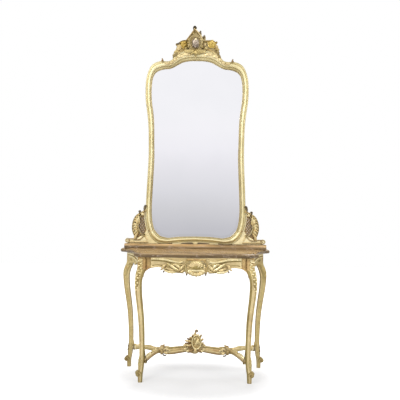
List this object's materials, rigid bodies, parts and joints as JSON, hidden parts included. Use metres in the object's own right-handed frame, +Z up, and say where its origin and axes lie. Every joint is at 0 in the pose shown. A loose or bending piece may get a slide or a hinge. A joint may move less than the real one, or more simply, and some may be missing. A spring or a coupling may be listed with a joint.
{
  "type": "console table with mirror",
  "caption": "Carved giltwood console table with a shaped marble top, cabriole legs and a forked stretcher, under a tall shaped mirror with a carved crest.",
  "frame": {"origin": "on the floor under the middle of the marble top", "axes": "+Z up, +Y towards the wall behind the table, +X to the right of someone facing the mirror"},
  "size_m": [1.05, 0.41, 2.414],
  "materials": {
    "giltwood": "gilded, worn satin",
    "marble": "polished stone",
    "marbled_wood": "painted to match the marble",
    "mirror": "silvered, bevelled",
    "softwood": "bare",
    "brass": "dull"
  },
  "bodies": {
    "root": {"marble_top": "marble", "front_apron": "giltwood", "left_apron": "giltwood", "right_apron": "giltwood", "back_rail": "softwood", "cross_bearers": "softwood", "glue_blocks": "softwood", "knee_blocks": "giltwood", "front_left_leg": "giltwood", "front_right_leg": "giltwood", "back_left_leg": "giltwood", "back_right_leg": "giltwood", "apron_shell": "giltwood", "left_apron_spray": "giltwood", "right_apron_spray": "giltwood", "front_left_arm": "giltwood", "front_right_arm": "giltwood", "back_left_arm": "giltwood", "back_right_arm": "giltwood", "left_stretcher_rail": "giltwood", "right_stretcher_rail": "giltwood", "stretcher_hub": "giltwood", "stretcher_finial": "giltwood", "left_husk": "giltwood", "right_husk": "giltwood", "stretcher_dowels": "softwood", "mirror_plinth": "marbled_wood", "plinth_block": "giltwood", "left_bracket": "giltwood", "right_bracket": "giltwood", "left_stile": "giltwood", "right_stile": "giltwood", "top_rail": "giltwood", "bottom_rail": "giltwood", "frame_dowels": "softwood", "mirror_glass": "mirror", "glazing_blocks": "softwood", "backboards": "softwood", "board_screws": "brass", "crest": "giltwood", "crest_cartouche": "giltwood", "left_crest_flower": "giltwood", "right_crest_flower": "giltwood", "hanging_plates": "brass", "plate_screws": "brass"}
  },
  "joints": []
}
